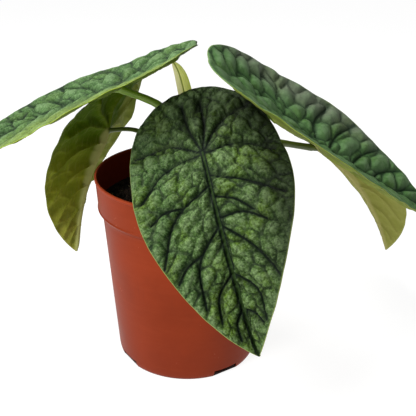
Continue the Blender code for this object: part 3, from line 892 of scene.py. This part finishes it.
def build_pot(material):
    """The moulded pot: a finer turned shell on the same profile, a little out of round by its rim."""
    inner, outer = pot_profile()
    segments = 240
    vertices, inside = [], []
    for i, (radius, z) in enumerate(inner + outer):
        soft = min(max((z - 0.01) / 0.08, 0), 1)
        for j in range(segments if radius else 1):
            angle = 2 * pi * j / segments
            warp = 1 + soft * 0.0018 * sin(3 * angle + 0.6) + soft * 0.0012 * sin(5 * angle + 2.1)
            vertices.append((radius * warp * cos(angle), radius * warp * sin(angle), z))
            inside.append(1.0 if i < len(inner) else 0.0)
    tip = len(vertices) - 1
    faces = fan(0, 1, segments) + fan(tip, tip - segments, segments, True)
    faces += bands(len(inner + outer) - 3, segments, 1, True)
    pot = add_mesh("pot_shell", vertices, faces, ["pot"], [material],
                   {"inside": np.array(inside)})
    cut_slots(pot)
    pot.data.set_sharp_from_angle(angle=radians(38))


def cut_slots(pot):
    """Cut the drain slots through the foot of the pot's wall."""
    cut = bmesh.new()
    deep, wide, high = SLOT_BOX
    for index in range(SLOT_COUNT):
        angle = SLOT_TURN + index * 2 * pi / SLOT_COUNT
        for vert in bmesh.ops.create_cube(cut, size=1)["verts"]:
            along = FOOT_RADIUS - FOOT_EDGE_INSET - SLOT_OVERCUT + (vert.co.x + 0.5) * deep
            across = vert.co.y * wide
            z = (vert.co.z - 0.5) * high + SLOT_TOP
            vert.co = (along * cos(angle) - across * sin(angle), along * sin(angle) + across * cos(angle), z)
    mesh = bpy.data.meshes.new("slots")
    cut.to_mesh(mesh)
    cut.free()
    cutter = bpy.data.objects.new("slot_cutter", mesh)
    collection.objects.link(cutter)
    boolean = pot.modifiers.new("Slots", "BOOLEAN")
    boolean.operation = "DIFFERENCE"
    boolean.object = cutter
    made = bpy.data.meshes.new_from_object(pot.evaluated_get(bpy.context.evaluated_depsgraph_get()))
    pot.modifiers.clear()
    pot.data = made
    bpy.data.objects.remove(cutter)


def pot_material():
    """Thin moulded plastic: faint turning marks, clouds, scuffs and dust, a painted highlight along the lip,
    and painted shade inside and in the slots.
    """
    n = Nodes("terracotta_plastic")
    place = n.add("TexCoord").outputs["Object"]
    x, y, z = n.add("SeparateXYZ", {0: place}).outputs
    moulded = n.noise(n.stretched(place, (30.0, 30.0, 260.0)), 1.0, 3, 0.55)
    cloudy = n.noise(place, 22.0, 4, 0.55)
    colour = n.mix(n.ramp(cloudy, 0.3, 0.7), "7c2c10", "883214")
    colour = n.layers(colour, ("903a1c", moulded, 0.45, 0.75, 0.16))
    colour = n.mix(n.ramp(z, 0.05, 0.0, 0.0, 0.30), colour, "7a2c18")
    dust = n.add("TexVoronoi", {"Vector": place, "Scale": 420.0}).outputs["Distance"]
    spotty = n.times(n.ramp(dust, 0.16, 0.06), n.ramp(n.noise(place, 90.0, 2), 0.60, 0.68))
    colour = n.mix(n.times(spotty, 0.5), colour, "c98a72")
    scuff = n.noise(n.stretched(place, (300.0, 300.0, 24.0)), 1.0, 2, 0.6)
    # The scuffs are the plastic's own marks; the lighter tone along the top of the lip is a painted
    # highlight.
    colour = n.layers(colour, ("6c2c1b", scuff, 0.62, 0.8, 0.18),
                      ("a44426", z, POT_HEIGHT - 0.0022, POT_HEIGHT - 0.0006, 0.40))
    # Painted shade: the pot's inside faces are darker.
    colour = n.mix(n.times(n.attribute("inside"), 0.90), colour, "702008")
    # Painted shade: near black in the drain slots and low inside the pot, and a thin dark line where the
    # foot meets the floor.
    flat = n.add("CombineXYZ", {0: x, 1: y}).outputs[0]
    reach = n.add("VectorMath", {0: flat}, operation="LENGTH").outputs["Value"]
    painted_slot_shade = n.times(n.ramp(reach, 0.0467, 0.0464), n.ramp(z, 0.0080, 0.0070))
    colour = n.mix(n.times(painted_slot_shade, 0.95), colour, "0c0301")
    peel = n.math("ADD", n.noise(place, 900.0, 2), n.times(moulded, 0.6))
    return n.set(colour=colour, roughness=n.ramp(cloudy, 0.3, 0.7, 0.40, 0.50),
                 normal=n.bump(peel, 0.00006, 0.6), specular=0.08)


# ---- potting mix and crown

def soil_height(radius):
    """The mix's mean height at a distance from the pot's middle: it rises a little to the crown."""
    share = radius / SOIL_RADIUS
    return SOIL_TOP + SOIL_CROWN_RISE * (1 - share * share) - SOIL_SINK


def build_soil(material):
    """The mix: an uneven crumbly surface, closed below."""
    rings, sides = 90, 200
    vertices = [(0, 0, SOIL_TOP)]
    for i in range(1, rings + 1):
        radius = SOIL_RADIUS * i / rings
        calm = min((1 - radius / SOIL_RADIUS) * 12, 1)
        for j in range(sides):
            angle = 2 * pi * j / sides
            p = Vector((radius * cos(angle), radius * sin(angle), 0))
            lump = noise.fractal(p * 160, 0.8, 2.1, 4) * 0.0011
            grain = (noise.cell(p * 900) - 0.5) * 0.0006 + noise.noise(p * 620) * 0.0008
            vertices.append((p.x, p.y, soil_height(radius) + (lump + grain) * calm))
    low = soil_low.z
    below = ((0.0541, SOIL_TOP - 0.0035), (0.0463, low + 0.0045), (0.0445, low))
    for radius, z in below:
        angles = (2 * pi * j / sides for j in range(sides))
        vertices += [(radius * cos(angle), radius * sin(angle), z) for angle in angles]
    tip = len(vertices)
    vertices.append((0, 0, low))
    faces = fan(0, 1, sides) + fan(tip, tip - sides, sides, True)
    faces += bands(rings - 1 + len(below), sides, 1, True)
    add_mesh("potting_mix", vertices, faces, ["soil"], [material])


def scatter_bits(name, count, sizes, stretch, material, seed):
    """Loose bits: jagged lumps of some sizes and widths, strewn over the mix and turned at random."""
    own = np.random.default_rng(seed)
    lump = bmesh.new()
    bmesh.ops.create_icosphere(lump, subdivisions=1, radius=1)
    shape = [v.co.copy() for v in lump.verts]
    corners = [[v.index for v in f.verts] for f in lump.faces]
    lump.free()
    vertices, faces = [], []
    for _ in range(count):
        size = own.uniform(*sizes)
        radius = (SOIL_RADIUS - size * 1.5) * sqrt(own.uniform(0.02, 1))
        angle = own.uniform(0, 2 * pi)
        x, y, z = radius * cos(angle), radius * sin(angle), soil_height(radius) + size * 0.25
        turn = Vector((own.normal(), own.normal(), own.normal())).normalized().rotation_difference(
            Vector((own.normal(), own.normal(), own.normal() + 0.3)).normalized())
        faces += [[len(vertices) + c for c in corner] for corner in corners]
        scale = Vector((size, size * own.uniform(*stretch), size * own.uniform(0.35, 0.8)))
        for point in shape:
            jag = 1 + own.uniform(-0.22, 0.22)
            corner = turn @ (point * scale) * jag
            vertices.append((corner.x + x, corner.y + y, corner.z + z))
    add_mesh(name, vertices, faces, [], [material], smooth=False)


def soil_material(name, deep, light):
    """A crumbly matt surface in two tones."""
    n = Nodes(name)
    place = n.add("TexCoord").outputs["Object"]
    grain = n.noise(place, 700.0, 4, 0.65)
    colour = n.mix(n.ramp(grain, 0.35, 0.7), deep, light)
    colour = n.layers(colour, (deep, n.noise(place, 120.0, 3, 0.6), 0.4, 0.65, 0.5))
    return n.set(colour=colour, roughness=0.92, normal=n.bump(grain, 0.0005), specular=0.2)


def build_crown(material):
    """The short stem: ridged by old leaf scars, with a root stump in the mix."""
    rings, sides = 46, 72
    vertices = []
    top = CROWN_CENTRE.z + CROWN_RADIUS
    for i in range(rings + 1):
        share = i / rings
        z = top - (top - crown_low.z) * share
        if top - z < CROWN_RADIUS * 1.5:
            radius = sqrt(max(CROWN_RADIUS**2 - (z - CROWN_CENTRE.z) ** 2, 0))
        else:
            radius = 0.0068 - 0.0012 * (share - 0.5)
        radius = max(radius, 0.0002)
        for j in range(sides):
            angle = 2 * pi * j / sides
            scar = 0.03 * sin(z * 3400 + sin(angle * 2) * 1.2)
            fibre = 0.02 * sin(angle * 17 + z * 500)
            reach = radius * (1 + (scar + fibre) * min(share * 8, 1) - 0.03)
            vertices.append((reach * cos(angle), reach * sin(angle), z))
    add_mesh("crown_stem", vertices, capped(rings, sides, True), ["crown"], [material])


# ---- assembly

def scales_left(x, y):
    """Scales on the left half, fainter across the right half."""
    return np.clip(0.62 - x / 14, 0.35, 1)


def scales_right(x, y):
    """Scales on the right half, fainter across the left half and over the lobes."""
    return np.clip(0.75 + x / 16, 0.30, 1) * np.clip(1.25 + y / 120, 0.6, 1)


# On the front blade the edge tint is painted light, a lighter side towards the blade's right where the light
# falls, and the shade tone is painted shade, mostly towards its left and over its lobes.
top_front = upper_material("blade_upper_front", "3f5a26", "506d34", "82996a", "0e1a10", "4d7036", 1.0,
                           shade=("070b03", 0.12, 0.78, 0.62), net=0.72, olive=0.75)
top_left = upper_material("blade_upper_left", "3f6030", "4e703c", "83a070", "142614", "7f9440", -1.0,
                          lines=0.5, mottle=0.6, rim="9fb03c")
top_right = upper_material("blade_upper_right", "476b38", "537645", "7a946e", "1f3425", "6a7060", -1.0,
                           (18.0, 40.0), lines=0.4, mottle=0.2, net=0.6, rim="aebb52")
top_rear = upper_material("blade_upper_rear", "35552f", "43653c", "6f8d60", "1a3020", "4b6b45", 1.0,
                          mottle=0.6, net=0.8)
under = under_material("blade_under", "4f6a1c", "66792a", "76872f", "7b8440", "98a050", "8d9a48")
# The rear left underside's dark lateral tone is painted shade along its veins.
under_left = under_material("blade_under_rear_left", "445e00", "7f8a24", "969440", "7e8838", "9da062",
                            "5a640a")
under_right = under_material("blade_under_rear_right", "858b38", "92964a", "9a9d50", "9a9c58", "b0ac6c",
                             "7c7c36", -1.0)

# Each blade's materials, strong veins, relief in mm, pattern of scales, and where its scales show
BLADES = {
    "front": ([top_front, under], FRONT_VEINS, (2.8, 2.5, 1.0, 0.9), (10.5, 1.0, 0.36), None),
    "left": ([top_left, under], common_veins(2), (1.4, 3.2, 0.4, 0.9), (13.0, 1.6, 0.38), scales_right),
    "right": ([top_right, under], common_veins(3, 0.24), (2.0, 3.0, 0, 0.9), (12.5, 1.7, 0.2), scales_left),
    "rear_left": ([top_rear, under_left], common_veins(4), (4.2, 1.2, 0.1, 0.3), (12.0, 1.5, 0.25), None),
    "rear_right": ([top_rear, under_right], common_veins(5), (1.2, 0.3, 0.1, 0.4), (12.0, 1.5, 0.25), None),
}
for seed, (place, (materials, veins, relief, pattern, scaled)) in enumerate(BLADES.items(), 1):
    build_blade(place, LEAVES[place], materials, veins, seed, relief, pattern, scaled)

bright = stalk_material("stalk_bright", "6d9420", "3b5212", "8cab34")
olive = stalk_material("stalk_olive", "3d4c12", "222e0c", "56662a")
for place, leaf in LEAVES.items():
    build_stalk(place, leaf, olive if place.startswith("rear") else bright)

build_young(young_material())
build_young_stalk(bright)
build_pot(pot_material())
build_soil(soil_material("mix_dark", "080503", "1a120b"))
scatter_bits("bark_bits", 900, (0.0009, 0.0026), (0.4, 1.0), soil_material("bark", "120b07", "32251a"), 3)
scatter_bits("grit_bits", 120, (0.0006, 0.0014), (0.7, 1.0), soil_material("grit", "34301f", "6a6548"), 4)
build_crown(soil_material("crown_skin", "3a4a18", "5d6a2c"))

# ---- floor, light and camera

FLOOR_HALF = 3.0
floor_mesh = bpy.data.meshes.new("floor")
corners = [(x * FLOOR_HALF, y * FLOOR_HALF, 0) for x, y in ((-1, -1), (1, -1), (1, 1), (-1, 1))]
floor_mesh.from_pydata(corners, [], [(0, 1, 2, 3)])
paper = Nodes("pale_floor")
grain = paper.noise(paper.add("TexCoord").outputs["Object"], 60.0, 2)
floor_mesh.materials.append(paper.set(
    colour=paper.mix(grain, (0.19, 0.19, 0.19), (0.21, 0.21, 0.21)), roughness=0.9, specular=0.0,
    glow=(1, 1, 1), glow_strength=0.90))
floor = bpy.data.objects.new("floor", floor_mesh)
collection.objects.link(floor)

# A white studio: the backdrop that the camera sees is plain, and the light falls off to the right
studio = Nodes("studio", bpy.data.worlds)
bpy.context.scene.world = studio.owner
backdrop = studio.tree.nodes["Background"]
studio.link((1, 1, 1), backdrop.inputs["Color"])
studio.link(1.0, backdrop.inputs["Strength"])
sky = studio.add("SeparateXYZ", {0: studio.add("TexCoord").outputs["Generated"]}).outputs
glow = studio.add("Background", {"Color": studio.ramp(sky[0], 1.0, -1.0, 0.35, 0.82), "Strength": 0.55})
seen = studio.add("LightPath").outputs["Is Camera Ray"]
both = studio.add("MixShader", {0: seen, 1: glow.outputs[0], 2: backdrop.outputs[0]}).outputs[0]
studio.link(both, studio.tree.nodes["World Output"].inputs[0])


def area_light(name, location, target, size, power):
    """A soft rectangular light, aimed at a point."""
    data = bpy.data.lights.new(name, "AREA")
    data.shape = "RECTANGLE"
    data.size, data.size_y = size
    data.energy = power
    obj = bpy.data.objects.new(name, data)
    collection.objects.link(obj)
    obj.location = location
    obj.rotation_euler = (Vector(target) - Vector(location)).to_track_quat("-Z", "Y").to_euler()


area_light("key", (-0.60, -0.62, 0.72), (0, 0, 0.10), (0.30, 0.4), 9.0)
area_light("top", (-0.35, 0.25, 0.95), (0, 0, 0.15), (0.35, 0.35), 6.5)

CAMERA_PITCH = radians(24.3)
camera_data = bpy.data.cameras.new("camera")
camera_data.sensor_width = 36.0
camera_data.lens = 64.8
camera_data.shift_x = 0.0498
camera = bpy.data.objects.new("camera", camera_data)
camera.location = (0.0, -0.45, 0.306)
camera.rotation_euler = (pi / 2 - CAMERA_PITCH, 0, 0)
collection.objects.link(camera)
bpy.context.scene.camera = camera
bpy.context.scene.view_settings.view_transform = "Standard"
